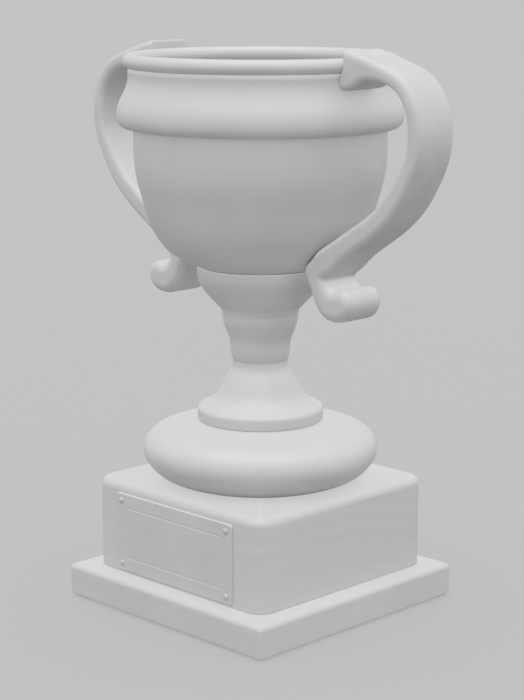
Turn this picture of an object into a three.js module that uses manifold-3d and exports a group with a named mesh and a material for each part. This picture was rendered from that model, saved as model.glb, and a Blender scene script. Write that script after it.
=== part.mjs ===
// Two-handled cup trophy on a stepped square plinth, in millimetres, +Z up.
// The origin is the middle of the felt's underside. The nameplate faces -Y, and the handles stand
// out along +X and -X. Every height below except the felt's is above the plinth's underside.
import * as THREE from "three";
import { mergeVertices } from "three/addons/utils/BufferGeometryUtils.js";
import Module from "manifold-3d";

const wasm = await Module();
wasm.setup();

// Fits
const CLEARANCE = 0.3; // between curved neighbours, and round each screw and rod
const SEAT_GAP = 0.1; // between flat faces that rest on each other
const PIERCE = 1; // how far a cutting tool runs past the face that it opens
const REACH = 5; // how far a screw hole's tool runs to each side of a sheet that curves away

// Plinth
const FELT = { thickness: 1.2, inset: 4, corner: 3 };
const STEP = { half: 62.65, height: 14.6, edge: 2.5 };
const BLOCK = { half: 54.2, height: 42.5, corner: 8.5, edge: 3.8 };
const PLINTH_SCREW = { length: 34, radius: 2, headRadius: 4, point: 6, spread: 40 };
const COUNTERBORE = { radius: 12, depth: 10 };

// Nameplate
const PLATE = { width: 75, height: 36.5, thickness: 1, corner: 1.5, edge: 0.3, centre: 34.3 };
const PIN = { radius: 0.7, headRadius: 1.5, headHeight: 0.8, length: 8, inset: 3.4 };

// Stack from the plinth up to the bowl: the height of each piece's underside
const RING_BASE = STEP.height + BLOCK.height;
const FOOT_BASE = 84.2;
const STEM_BASE = 111.5;
const CALYX_BASE = 136;
const RING_CURVE = [
  [39, RING_BASE],
  [43.5, 58.6],
  [47.8, 61],
  [51, 64.2],
  [53, 67.4],
  [53.6, 70.4],
  [52.8, 74.6],
  [50.2, 77.9],
  [45.6, 80.4],
  [39.5, 81.9],
  [33, 83.3],
  [29, FOOT_BASE],
];
const FLANGE = { radius: 28.8, top: 91, edge: 2.2, chamfer: 1 };
const FOOT_CURVE = [
  [26.6, 91],
  [24.2, 92.4],
  [20.2, 96],
  [17.4, 100.7],
  [14.6, 105.5],
  [12.8, 109],
  [12.45, STEM_BASE],
];
const STEM_CURVE = [
  [12.45, STEM_BASE],
  [13.3, 114.7],
  [14.1, 121.5],
  [15.7, 126],
  [17, 130.5],
  [17.5, 134],
  [18.1, CALYX_BASE],
];
const CALYX_LIP = 1;
const CALYX_CURVE = [
  [18.3, CALYX_BASE],
  [20.8, 138.7],
  [24.2, 142.4],
  [27.5, 147.4],
  [28.6, 151.5],
  [28.7, 155],
];

// Bowl: its outside from the flat floor to the foot of the straight wall
const BOWL_CURVE = [
  [14, 151.4],
  [22, 153],
  [28.7, 155.4],
  [36, 158.9],
  [41.6, 162.8],
  [45.6, 167.2],
  [48.6, 172.4],
  [50.8, 178],
  [52.8, 185],
  [55, 193],
  [56.4, 202],
  [56.7, 212],
];
const BOWL = { wall: 1.6, top: 236 };

// Rim: a convex band, a hollow neck and a lip rolled round a wire, all one sheet
const SHEET = 1.2;
const LIP = { radius: 3.25, middle: 57.75, height: 246.75, opens: 230, closes: -72, underside: -70 };
const WIRE_RADIUS = 1.7;
const BAND_CURVE = [
  [57.95, 219],
  [60.3, 218.1],
  [62.4, 219.5],
  [63.3, 222.8],
  [62.7, 227],
  [60.7, 231.4],
  [58.9, 235.4],
  [58.1, 238.8],
  [58.1, 242],
];

// Handles: the strap's middle line in the XZ plane as [x, height, thickness], then the scroll's outline
const HANDLE = { width: 23.5, edge: 2.2 };
const STRAP = [
  [57, 245.3, 17],
  [62, 245.4, 16.6],
  [68.5, 246, 12],
  [79, 244.8, 7.6],
  [88.6, 241.2, 6.9],
  [95.6, 233.1, 6.9],
  [98.5, 221.5, 7.4],
  [97, 209.9, 7.5],
  [92, 199.7, 8.2],
  [84.6, 189.3, 8.9],
  [74.6, 180.4, 9.3],
  [64.3, 173.6, 9.7],
  [54.2, 166.7, 10.6],
  [46.1, 160.6, 11],
  [41.6, 157.4, 6.5],
];
const SCROLL = [
  [37.8, 158.4],
  [39.4, 152.6],
  [41.8, 146.6],
  [45, 141.2],
  [49.4, 137.8],
  [55, 137],
  [60.6, 138.6],
  [63.6, 142.2],
  [64.2, 146.8],
  [62, 150.4],
  [58.2, 151.6],
  [54.6, 150.8],
  [51, 152.2],
  [47.4, 158],
  [42, 162],
];

// Screws, nuts and rod
const ROD = { radius: 4, bottom: 1.4, top: 164 };
const NUT = { flats: 13, height: 6.5 };
const CAP = { radius: 6.2, shoulder: 2.3 }; // the dome, and its middle's height above the hexagon
const WASHER = { radius: 9, thickness: 1.6 };
const UPPER_SCREW = { radius: 1.5, headRadius: 2.75, headHeight: 1.8, height: 239.8, tip: 63 };
const LOWER_SCREW = { radius: 2, headRadius: 3.6, headHeight: 2.4, length: 12, share: 0.39 };
const LOWER_WASHER = { radius: 4.2, thickness: 0.8, standoff: 0.8 }; // its edge rests on the hollow wall

// Facets round a full turn, and steps along an arc and along each curve
const LARGE_TURN = 36;
const MEDIUM_TURN = 28;
const SMALL_TURN = 12;
const PIN_TURN = 8;
const WIRE_TURN = 6;
const ARC_STEP = 32; // degrees
const STEPS = { ring: 13, foot: 7, stem: 6, calyx: 7, bowl: 11, band: 9, bend: 2, strap: 26, scroll: 20 };

const COLOURS = {
  spun: { color: 0xb9babb, roughness: 0.42, metalness: 0.85 },
  cast: { color: 0xb2b3b4, roughness: 0.5, metalness: 0.85 },
  lacquer: { color: 0xb5b4b2, roughness: 0.5, metalness: 0 },
  plate: { color: 0xc0c1c2, roughness: 0.35, metalness: 1 },
  steel: { color: 0x9d9fa1, roughness: 0.35, metalness: 1 },
  felt: { color: 0x5c5d5f, roughness: 0.95, metalness: 0 },
};

// Solids
function solidOf(geometry) {
  const plain = geometry.index ? geometry.toNonIndexed() : geometry.clone();
  plain.deleteAttribute("normal");
  plain.deleteAttribute("uv");
  const merged = mergeVertices(plain, 1e-4);
  const vertProperties = merged.attributes.position.array;
  const triVerts = new Uint32Array(merged.index.array);
  return new wasm.Manifold(new wasm.Mesh({ numProp: 3, vertProperties, triVerts }));
}

function geometryOf(solid) {
  const { vertProperties, triVerts } = solid.getMesh();
  const geometry = new THREE.BufferGeometry();
  geometry.setAttribute("position", new THREE.BufferAttribute(vertProperties, 3));
  geometry.setIndex(new THREE.BufferAttribute(triVerts, 1));
  geometry.computeVertexNormals();
  return geometry;
}

function cut(geometry, tools) {
  const solid = tools.reduce((left, tool) => left.subtract(solidOf(tool)), solidOf(geometry));
  return geometryOf(solid);
}

function join(geometries) {
  const [first, ...rest] = geometries.map(solidOf);
  return geometryOf(rest.reduce((sum, next) => sum.add(next), first));
}

// A solid of revolution about Z from a closed [radius, height] outline, anticlockwise.
function turned(outline, segments) {
  const points = outline.map(([r, z]) => new THREE.Vector2(r, z));
  return new THREE.LatheGeometry([...points, points[0]], segments).rotateX(Math.PI / 2);
}

function cylinder(radius, bottom, top, segments = SMALL_TURN) {
  const geometry = new THREE.CylinderGeometry(radius, radius, top - bottom, segments);
  return geometry.rotateX(Math.PI / 2).translate(0, 0, (bottom + top) / 2);
}

function tube(outer, inner, bottom, top, segments) {
  return turned(
    [
      [inner, bottom],
      [outer, bottom],
      [outer, top],
      [inner, top],
    ],
    segments,
  );
}

// Points of the smooth curve through the given [radius, height] pairs.
function smooth(pairs, divisions) {
  const curve = new THREE.SplineCurve(pairs.map(([x, y]) => new THREE.Vector2(x, y)));
  return curve.getSpacedPoints(divisions).map(({ x, y }) => [x, y]);
}

function onCircle(cx, cy, radius, degrees) {
  const angle = THREE.MathUtils.degToRad(degrees);
  return [cx + radius * Math.cos(angle), cy + radius * Math.sin(angle)];
}

function arc(cx, cy, radius, from, to) {
  const divisions = Math.ceil(Math.abs(to - from) / ARC_STEP);
  return Array.from({ length: divisions + 1 }, (_, i) =>
    onCircle(cx, cy, radius, from + ((to - from) * i) / divisions),
  );
}

// The line moved sideways by a distance that may change along it; positive is to its left.
function offset(line, distanceAt) {
  return line.map(([x, y], i) => {
    const [ax, ay] = line[Math.max(i - 1, 0)];
    const [bx, by] = line[Math.min(i + 1, line.length - 1)];
    const length = Math.hypot(bx - ax, by - ay);
    const distance = distanceAt(i);
    return [x - ((by - ay) / length) * distance, y + ((bx - ax) / length) * distance];
  });
}

function roundedRectangle(halfWidth, halfHeight, radius) {
  const x = halfWidth - radius;
  const y = halfHeight - radius;
  const shape = new THREE.Shape();
  shape.absarc(x, y, radius, 0, Math.PI / 2);
  shape.absarc(-x, y, radius, Math.PI / 2, Math.PI);
  shape.absarc(-x, -y, radius, Math.PI, (3 * Math.PI) / 2);
  shape.absarc(x, -y, radius, (3 * Math.PI) / 2, 2 * Math.PI);
  return shape;
}

// An outline extruded along +Z from 0 to the height, its edges rounded without growing the outline.
// The divisions are three.js's curveSegments and bevelSegments.
function slab(shape, height, edge, divisions) {
  const options = {
    depth: height - 2 * edge,
    bevelThickness: edge,
    bevelSize: edge,
    bevelOffset: -edge,
    ...divisions,
  };
  return new THREE.ExtrudeGeometry(shape, options).translate(0, 0, edge);
}

// The same with a flat underside: a slab that is one edge too tall, cut off level.
function standingSlab(shape, height, edge, divisions) {
  const whole = slab(shape, height + edge, edge, divisions).translate(0, 0, -edge);
  const side = 2 * STEP.half + 2 * PIERCE;
  const below = new THREE.BoxGeometry(side, side, 2 * edge).translate(0, 0, -edge);
  return cut(whole, [below]);
}

const finish = (name) => new THREE.MeshStandardMaterial(COLOURS[name]);

function piece(name, geometry, finishName) {
  const mesh = new THREE.Mesh(geometry, finish(finishName));
  mesh.name = name;
  return mesh;
}

const corners = (x, y) => [
  [x, -y],
  [x, y],
  [-x, y],
  [-x, -y],
];

const boreRadius = ROD.radius + CLEARANCE;
const bowlFloor = BOWL_CURVE[0][1];
const bowlRadius = BOWL_CURVE.at(-1)[0];

// The bowl's outside from its floor to its straight wall, moved outwards by a distance.
const bowlLine = (outwards) => offset(smooth(BOWL_CURVE, STEPS.bowl), () => -outwards);

// Turns a tool made along +Z to point outwards and down, square to the bowl where the lower screw
// crosses its outside.
function atLowerScrew(geometry) {
  const outside = new THREE.SplineCurve(BOWL_CURVE.map(([r, z]) => new THREE.Vector2(r, z)));
  const place = outside.getPointAt(LOWER_SCREW.share);
  const tangent = outside.getTangentAt(LOWER_SCREW.share);
  const slope = Math.atan2(tangent.x, tangent.y);
  return geometry.rotateY(Math.PI / 2 + slope).translate(place.x, 0, place.y);
}

// Turns a tool made along +Z to point outwards along +X at the upper screw's height.
function atUpperScrew(geometry) {
  return geometry.rotateY(Math.PI / 2).translate(0, 0, UPPER_SCREW.height);
}

const bothSides = (make) => [make(), make().rotateZ(Math.PI)];

// A screw or pin along +Z with its domed head below zero.
function roundHeadScrew({ radius, headRadius, headHeight }, length, segments) {
  const dome = arc(0, 0, 1, -90, 0).map(([x, y]) => [x * headRadius, y * headHeight]);
  const outline = [
    ...dome,
    [radius, 0],
    [radius, length - radius / 2],
    [radius / 2, length],
    [0, length],
  ];
  return turned(outline, segments);
}

// Plinth
function feltPad() {
  const half = STEP.half - FELT.inset;
  const shape = roundedRectangle(half, half, FELT.corner);
  const depth = FELT.thickness - SEAT_GAP;
  return new THREE.ExtrudeGeometry(shape, { depth, bevelEnabled: false, curveSegments: 2 });
}

function screwHole() {
  const { radius, headRadius, length } = PLINTH_SCREW;
  const head = headRadius + CLEARANCE;
  const shank = radius + CLEARANCE;
  const outline = [
    [0, -PIERCE],
    [head, -PIERCE],
    [head, CLEARANCE],
    [shank, CLEARANCE + head - shank],
    [shank, length + CLEARANCE],
    [0, length + CLEARANCE],
  ];
  return turned(outline, SMALL_TURN);
}

function plinthScrew() {
  const { radius, headRadius, length, point } = PLINTH_SCREW;
  const outline = [
    [0, CLEARANCE],
    [headRadius, CLEARANCE],
    [radius, CLEARANCE + headRadius - radius],
    [radius, length - point],
    [0, length],
  ];
  return turned(outline, SMALL_TURN);
}

const screwPlaces = corners(PLINTH_SCREW.spread, PLINTH_SCREW.spread);
const screwHoles = () => screwPlaces.map(([x, y]) => screwHole().translate(x, y, 0));

function plinthStep() {
  const outline = corners(STEP.half, STEP.half).map(([x, y]) => new THREE.Vector2(x, y));
  const square = standingSlab(new THREE.Shape(outline), STEP.height, STEP.edge, { bevelSegments: 4 });
  const bore = cylinder(boreRadius, -PIERCE, STEP.height + PIERCE);
  const recess = cylinder(COUNTERBORE.radius, -PIERCE, COUNTERBORE.depth, MEDIUM_TURN);
  return cut(square, [bore, recess, ...screwHoles()]);
}

const pinPlaces = corners(PLATE.width / 2 - PIN.inset, PLATE.height / 2 - PIN.inset);

// Holes along Y through the nameplate and on into the block, past each pin's tip
function pinHoles() {
  const radius = PIN.radius + CLEARANCE;
  const hole = new THREE.CylinderGeometry(radius, radius, 2 * PIN.length, PIN_TURN);
  return pinPlaces.map(([x, z]) => hole.clone().translate(x, -BLOCK.half, PLATE.centre + z));
}

function plinthBlock() {
  const shape = roundedRectangle(BLOCK.half, BLOCK.half, BLOCK.corner);
  const divisions = { curveSegments: 5, bevelSegments: 4 };
  const block = standingSlab(shape, BLOCK.height - SEAT_GAP, BLOCK.edge, divisions);
  const placed = block.translate(0, 0, STEP.height + SEAT_GAP);
  const bore = cylinder(boreRadius, 0, RING_BASE + PIERCE);
  return cut(placed, [bore, ...screwHoles(), ...pinHoles()]);
}

function nameplate() {
  const shape = roundedRectangle(PLATE.width / 2, PLATE.height / 2, PLATE.corner);
  const plate = slab(shape, PLATE.thickness, PLATE.edge, { curveSegments: 2, bevelSegments: 1 });
  plate.rotateX(Math.PI / 2).translate(0, -BLOCK.half - SEAT_GAP, PLATE.centre);
  return cut(plate, pinHoles());
}

// Turned stack
// Lifts an outline's underside, its first two points, off the piece below.
function seated([inner, outer, ...rest]) {
  return [[inner[0], inner[1] + SEAT_GAP], [outer[0], outer[1] + SEAT_GAP], ...rest];
}

function baseRing() {
  const outline = [
    [boreRadius, RING_BASE],
    ...smooth(RING_CURVE, STEPS.ring),
    [boreRadius, FOOT_BASE],
  ];
  return turned(seated(outline), LARGE_TURN);
}

function foot() {
  const { radius, top, edge, chamfer } = FLANGE;
  const outline = [
    [boreRadius, FOOT_BASE],
    [radius - chamfer, FOOT_BASE],
    [radius, FOOT_BASE + chamfer],
    ...arc(radius - edge, top - edge, edge, 0, 90),
    ...smooth(FOOT_CURVE, STEPS.foot).slice(1),
    [boreRadius, STEM_BASE],
  ];
  return turned(seated(outline), MEDIUM_TURN);
}

function stem() {
  const outline = [
    [boreRadius, STEM_BASE],
    ...smooth(STEM_CURVE, STEPS.stem),
    [boreRadius, CALYX_BASE],
  ];
  return turned(seated(outline), MEDIUM_TURN);
}

// The calyx is a cup that the bowl's bottom sits in.
function calyx() {
  const rim = CALYX_CURVE.at(-1)[0];
  const seat = bowlLine(CLEARANCE).filter(([r]) => r < rim - CALYX_LIP);
  const outline = [
    [boreRadius, CALYX_BASE],
    ...smooth(CALYX_CURVE, STEPS.calyx),
    ...seat.reverse(),
    [boreRadius, seat.at(-1)[1]],
  ];
  return turned(seated(outline), LARGE_TURN);
}

// Screw holes of both handles in the bowl's wall and in the rim's neck
const lowerHoleRadius = LOWER_SCREW.radius + CLEARANCE;
const upperHoleRadius = UPPER_SCREW.radius + CLEARANCE;
const lowerHoles = () => bothSides(() => atLowerScrew(cylinder(lowerHoleRadius, -REACH, REACH)));
const upperHoles = () =>
  bothSides(() => atUpperScrew(cylinder(upperHoleRadius, bowlRadius - REACH, bowlRadius + REACH)));

function bowl() {
  const inside = bowlLine(-BOWL.wall);
  const outline = [
    [boreRadius, bowlFloor],
    ...bowlLine(0),
    [bowlRadius, BOWL.top],
    [bowlRadius - BOWL.wall, BOWL.top],
    ...inside.reverse(),
    [boreRadius, inside.at(-1)[1]],
  ];
  return cut(turned(outline, LARGE_TURN), lowerHoles());
}

// The middle line of the rim's sheet, from the band's lower edge to the end of the rolled lip.
function rimLine() {
  const { radius, middle, height, opens, closes } = LIP;
  const roll = radius - SHEET / 2;
  const band = smooth(BAND_CURVE, STEPS.band);
  const [neck, neckTop] = BAND_CURVE.at(-1);
  const [startR, startZ] = onCircle(middle, height, roll, opens);
  const slope = THREE.MathUtils.degToRad(opens);
  const bend = new THREE.QuadraticBezierCurve(
    new THREE.Vector2(neck, neckTop),
    new THREE.Vector2(neck, startZ + (startR - neck) / Math.tan(slope)),
    new THREE.Vector2(startR, startZ),
  );
  const bendPoints = bend.getPoints(STEPS.bend).map(({ x, y }) => [x, y]);
  return [...band, ...bendPoints.slice(1), ...arc(middle, height, roll, opens, closes).slice(1)];
}

function rimBand() {
  const line = rimLine();
  const outside = offset(line, () => -SHEET / 2);
  const inside = offset(line, () => SHEET / 2);
  return cut(turned([...outside, ...inside.reverse()], LARGE_TURN), upperHoles());
}

function rimWire() {
  const wire = new THREE.TorusGeometry(LIP.middle, WIRE_RADIUS, WIRE_TURN, LARGE_TURN);
  return wire.translate(0, 0, LIP.height);
}

// The room that a handle leaves for the rim and the bowl: their outside, grown by the clearance.
function rimRoom() {
  const { middle, height, radius, underside } = LIP;
  const grown = radius + CLEARANCE;
  const top = height + HANDLE.width;
  const band = offset(smooth(BAND_CURVE, STEPS.band), () => -SHEET / 2 - CLEARANCE);
  const outline = [
    [0, band[0][1]],
    ...band,
    ...arc(middle, height, grown, underside, 0),
    [middle + grown, top],
    [0, top],
  ];
  return turned(outline, LARGE_TURN);
}

function bowlRoom() {
  const outside = bowlLine(CLEARANCE);
  const top = BAND_CURVE[0][1] + CLEARANCE;
  const outline = [
    [0, outside[0][1]],
    ...outside,
    [bowlRadius + CLEARANCE, top],
    [0, top],
  ];
  return turned(outline, LARGE_TURN);
}

// Where the lower washer's faces lie along the lower screw, from the bowl's outside
const washerBack = -BOWL.wall - LOWER_WASHER.standoff;
const washerFront = washerBack - LOWER_WASHER.thickness;

// Handles
function extrudedAcross(outline) {
  const shape = new THREE.Shape(outline.map(([x, z]) => new THREE.Vector2(x, z)));
  const across = slab(shape, HANDLE.width, HANDLE.edge, { bevelSegments: 2 });
  return across.translate(0, 0, -HANDLE.width / 2).rotateX(Math.PI / 2);
}

// The strap's thickness rides along the curve as its third coordinate.
function strapOutline() {
  const curve = new THREE.CatmullRomCurve3(STRAP.map((p) => new THREE.Vector3(...p)));
  const points = curve.getSpacedPoints(STEPS.strap);
  const line = points.map(({ x, y }) => [x, y]);
  const outer = offset(line, (i) => points[i].z / 2);
  const inner = offset(line, (i) => -points[i].z / 2);
  return [...outer, ...inner.reverse()];
}

function scrollOutline() {
  const curve = new THREE.CatmullRomCurve3(SCROLL.map(([x, z]) => new THREE.Vector3(x, z, 0)), true);
  const points = curve.getSpacedPoints(STEPS.scroll).slice(1);
  return points.map(({ x, y }) => [x, y]);
}

function handle() {
  const whole = join([extrudedAcross(strapOutline()), extrudedAcross(scrollOutline())]);
  const lowerEnd = washerFront + LOWER_SCREW.length + CLEARANCE;
  const lowerHole = atLowerScrew(cylinder(lowerHoleRadius, -REACH, lowerEnd));
  const upperEnd = UPPER_SCREW.tip + CLEARANCE;
  const upperHole = atUpperScrew(cylinder(upperHoleRadius, bowlRadius, upperEnd));
  return cut(whole, [rimRoom(), bowlRoom(), lowerHole, upperHole]);
}

function upperScrew() {
  const neckInside = BAND_CURVE.at(-1)[0] - SHEET / 2 - CLEARANCE;
  const screw = roundHeadScrew(UPPER_SCREW, UPPER_SCREW.tip - neckInside, SMALL_TURN);
  return atUpperScrew(screw.translate(0, 0, neckInside));
}

function lowerWasher() {
  const ring = tube(LOWER_WASHER.radius, lowerHoleRadius, washerFront, washerBack, SMALL_TURN);
  return atLowerScrew(ring);
}

function lowerScrew() {
  const screw = roundHeadScrew(LOWER_SCREW, LOWER_SCREW.length, SMALL_TURN);
  return atLowerScrew(screw.translate(0, 0, washerFront - SEAT_GAP));
}

// Tie rod, nuts and washers
const tieRod = () => cylinder(ROD.radius, ROD.bottom, ROD.top, SMALL_TURN);
const hexagon = (bottom) => cylinder(NUT.flats / Math.sqrt(3), bottom, bottom + NUT.height, 6);
const washer = (bottom) =>
  tube(WASHER.radius, boreRadius, bottom, bottom + WASHER.thickness, MEDIUM_TURN);

const baseWasherBottom = COUNTERBORE.depth - SEAT_GAP - WASHER.thickness;
const baseNutBottom = baseWasherBottom - SEAT_GAP - NUT.height;
const bowlWasherBottom = bowlFloor + BOWL.wall + SEAT_GAP;
const capNutBottom = bowlWasherBottom + WASHER.thickness + SEAT_GAP;

function baseNut() {
  const bore = cylinder(boreRadius, baseNutBottom - PIERCE, baseNutBottom + NUT.height + PIERCE);
  return cut(hexagon(baseNutBottom), [bore]);
}

function capNut() {
  const shoulder = capNutBottom + NUT.height + CAP.shoulder;
  const dome = [
    [0, capNutBottom + PIERCE],
    [CAP.radius, capNutBottom + PIERCE],
    ...arc(0, shoulder, CAP.radius, 0, 90),
  ];
  const bore = cylinder(boreRadius, capNutBottom - PIERCE, ROD.top + CLEARANCE);
  return cut(join([hexagon(capNutBottom), turned(dome, MEDIUM_TURN)]), [bore]);
}

// Assembly
const trophy = new THREE.Group();
const standing = new THREE.Group();
standing.position.z = FELT.thickness;
trophy.add(piece("felt_pad", feltPad(), "felt"), standing);

standing.add(
  piece("plinth_step", plinthStep(), "lacquer"),
  piece("plinth_block", plinthBlock(), "lacquer"),
  piece("nameplate", nameplate(), "plate"),
  piece("base_ring", baseRing(), "spun"),
  piece("foot", foot(), "spun"),
  piece("stem", stem(), "spun"),
  piece("calyx", calyx(), "spun"),
  piece("bowl", bowl(), "spun"),
  piece("rim_band", rimBand(), "spun"),
  piece("rim_wire", rimWire(), "steel"),
  piece("tie_rod", tieRod(), "steel"),
  piece("base_washer", washer(baseWasherBottom), "steel"),
  piece("base_nut", baseNut(), "steel"),
  piece("bowl_washer", washer(bowlWasherBottom), "steel"),
  piece("bowl_cap_nut", capNut(), "steel"),
);

screwPlaces.forEach(([x, y], i) => {
  const screw = piece(`plinth_screw_${i + 1}`, plinthScrew(), "steel");
  screw.position.set(x, y, 0);
  standing.add(screw);
});

pinPlaces.forEach(([x, z], i) => {
  const pin = piece(`nameplate_pin_${i + 1}`, roundHeadScrew(PIN, PIN.length, PIN_TURN), "steel");
  pin.position.set(x, -BLOCK.half - 2 * SEAT_GAP - PLATE.thickness, PLATE.centre + z);
  pin.rotation.x = -Math.PI / 2;
  standing.add(pin);
});

for (const [side, turn] of [
  ["right", 0],
  ["left", Math.PI],
]) {
  const group = new THREE.Group();
  group.rotation.z = turn;
  group.add(
    piece(`handle_${side}`, handle(), "cast"),
    piece(`handle_${side}_upper_screw`, upperScrew(), "steel"),
    piece(`handle_${side}_lower_screw`, lowerScrew(), "steel"),
    piece(`handle_${side}_lower_washer`, lowerWasher(), "steel"),
  );
  standing.add(group);
}

export default trophy;
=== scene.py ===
import itertools
import math

import bpy
import numpy as np
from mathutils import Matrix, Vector


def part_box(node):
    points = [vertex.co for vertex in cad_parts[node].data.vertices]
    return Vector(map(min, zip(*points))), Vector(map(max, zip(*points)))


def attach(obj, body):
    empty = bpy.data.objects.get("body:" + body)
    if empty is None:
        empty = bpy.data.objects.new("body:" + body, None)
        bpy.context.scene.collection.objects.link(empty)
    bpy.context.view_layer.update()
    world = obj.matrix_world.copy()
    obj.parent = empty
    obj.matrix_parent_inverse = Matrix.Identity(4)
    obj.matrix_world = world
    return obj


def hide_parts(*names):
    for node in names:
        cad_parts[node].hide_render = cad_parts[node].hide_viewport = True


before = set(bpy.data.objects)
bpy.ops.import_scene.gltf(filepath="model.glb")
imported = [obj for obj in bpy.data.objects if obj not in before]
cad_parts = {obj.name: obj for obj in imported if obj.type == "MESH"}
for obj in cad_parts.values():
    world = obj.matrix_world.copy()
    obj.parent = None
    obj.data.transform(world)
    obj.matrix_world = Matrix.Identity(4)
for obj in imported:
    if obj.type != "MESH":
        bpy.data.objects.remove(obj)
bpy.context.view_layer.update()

# Shapes are in millimetres in the row frame; materials and the studio are in metres. Heights in the
# curves below are above the plinth's underside, which stands on the felt.
MM = 0.001
BODY = "root"
PLINTH_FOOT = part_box("plinth_step")[0].z / MM

# Gaps
SEAT = 0.1  # between turned pieces that rest on each other
CUP_GAP = 0.15  # between the calyx and the bowl
TOUCH = 0.12  # between a handle and the bowl or the rim
HOLE_GAP = 0.2  # round a handle's screw

# Fineness
TURN = 192  # facets round the cup
SMALL_TURN = 48  # facets round a screw
SPLINE_POINTS = 60  # points worked out on a spline for each given one, before they are spaced
FINE = 0.55  # spacing of points along an outline
SHEET_FINE = 0.4  # the same along the rim's sheet
CELL = 0.7  # spacing of the grid that a handle's surface is found on
SHARP = 38  # degrees: edges that turn further are shaded sharp
CAST_SHARP = 60  # the same on a casting

# Turned stack, as (radius, height)
RING_CURVE = [
    (39, 57.1), (43.5, 58.6), (47.8, 61), (51, 64.2), (53, 67.4), (53.6, 70.4),
    (52.8, 74.6), (50.2, 77.9), (45.6, 80.4), (39.5, 81.9), (33, 83.3), (29, 84.2),
]
FLANGE = {"radius": 28.8, "bottom": 84.2, "top": 91, "edge": 2.2, "chamfer": 1, "under": 0.6}
FOOT_CURVE = [
    (26.6, 91), (24.2, 92.4), (20.2, 96), (17.4, 100.7), (14.6, 105.5), (12.8, 109),
    (12.45, 111.5),
]
STEM_CURVE = [
    (12.45, 111.5), (13.3, 114.7), (14.1, 121.5), (15.7, 126), (17, 130.5), (17.5, 134),
    (18.1, 136),
]
CALYX_CURVE = [
    (18.3, 136), (20.8, 138.7), (24.2, 142.4), (27.5, 147.4), (28.6, 151.5), (28.7, 155),
]
CALYX_LIP = 0.1  # radius of the calyx's thin upper edge
BOWL_CURVE = [
    (14, 151.4), (22, 153), (28.7, 155.4), (36, 158.9), (41.6, 162.8), (45.6, 167.2),
    (48.6, 172.4), (50.8, 178), (52.8, 185), (55, 193), (56.4, 202), (56.7, 212),
]
BOWL = {"wall": 1.6, "top": 236, "edge": 0.4}

# Rim: a convex band, a neck and a lip rolled round a wire, all of one sheet
BAND_CURVE = [
    (57.95, 219), (60.3, 218.1), (62.4, 219.5), (63.3, 222.8), (62.7, 227), (60.7, 231.4),
    (58.9, 235.4), (58.1, 238.8), (58.1, 242),
]
SHEET = 1.2
LIP = {"radius": 3.25, "middle": 57.75, "height": 246.75, "opens": 230, "closes": -72}
WIRE_RADIUS = 1.7

# Right handle: the strap's middle line as (x, height, thickness), and the scroll's outline
HANDLE = {"width": 23.5, "edge": 2.9, "scroll_edge": 4.4, "scroll_top": 158, "fade": 10}
STRAP = [
    (57, 245.3, 17), (62, 245.4, 16.6), (68.5, 246, 12), (79, 244.8, 7.6), (88.6, 241.2, 6.9),
    (95.6, 233.1, 6.9), (98.5, 221.5, 7.4), (97, 209.9, 7.5), (92, 199.7, 8.2),
    (84.6, 189.3, 8.9), (74.6, 180.4, 9.3), (64.3, 173.6, 9.7), (54.2, 166.7, 10.6),
    (46.1, 160.6, 11), (41.6, 157.4, 6.5),
]
SCROLL = [
    (37.8, 158.4), (39.4, 152.6), (41.8, 146.6), (45, 141.2), (49.4, 137.8), (55, 137),
    (60.6, 138.6), (63.6, 142.2), (64.2, 146.8), (62, 150.4), (58.2, 151.6), (54.6, 150.8),
    (51, 152.2), (47.4, 158), (42, 162),
]
MELD = {"strap_to_scroll": 2.5, "to_cup": 0.9}  # how far creases between fields are rounded

# Low and high corners of the regions that the handle's fields are worked out in
HANDLE_BOX = ((34.0, -12.7, 133.0), (104.5, 13.1, 256.0))
SIDE_BOX = ((30, 128), (108, 262))
CUP_BOX = ((28, 128), (112, 262))

# Plinth
STEP = {"corner": 0.9, "low_edge": 0.5, "high_edge": 2.5}
BLOCK = {"corner": 8.5, "low_edge": 0.7, "high_edge": 3.8}
COUNTERBORE = {"radius": 12, "depth": 10, "below": 1}
NAMEPLATE = {"corner": 1.5, "line_in": 6.2, "line_deep": 0.14, "line_wide": 0.22}
PAD = {"corner": 3, "thick": 1.1, "uneven": 0.0014}  # the cut edge wanders in by that share

# Fastenings
BORE = 4.3
ROD = {"radius": 4, "pitch": 1.25, "plain": 0.6, "spacing": 0.17}
NUT = {"flats": 13, "chamfer": 0.9, "bore_edge": 0.5}
CAP = {"radius": 6.2, "hexagon": 6.5, "rise": 2.3, "air": 0.3}
PLINTH_SCREW = {
    "radius": 2, "head": 4, "length": 34, "pitch": 1.6, "plain": 12, "point": 6, "spacing": 0.22,
}
PIN = {"radius": 0.7, "head": 1.5, "rise": 0.8, "length": 8, "spacing": 0.5}
LOWER = {"radius": 2, "head": 3.6, "rise": 2.4, "pitch": 0.7}
LOWER_WASHER = {"radius": 4.2, "bore": 2.3, "thick": 0.8}
UPPER = {"radius": 1.5, "head": 2.75, "rise": 1.8, "pitch": 0.5}

# Where the handle screws' holes start and end along the screws: the lower ones from the washer,
# through the bowl's wall, and the upper ones from the cup's axis, through the rim's neck. In a
# handle they go on past the screw's tip.
LOWER_HOLE = {"start": -3, "wall_end": 6}
UPPER_HOLE = {"start": 50, "neck_end": 62}
PAST_TIP = 0.3


# Lines


def spaced(line, spacing):
    """The line again, with points about that far apart."""
    steps = np.linalg.norm(np.diff(line[:, :2], axis=0), axis=1)
    along = np.concatenate([[0], np.cumsum(steps)])
    at = np.linspace(0, along[-1], math.ceil(along[-1] / spacing) + 1)
    return np.stack([np.interp(at, along, column) for column in line.T], axis=1)


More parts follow.
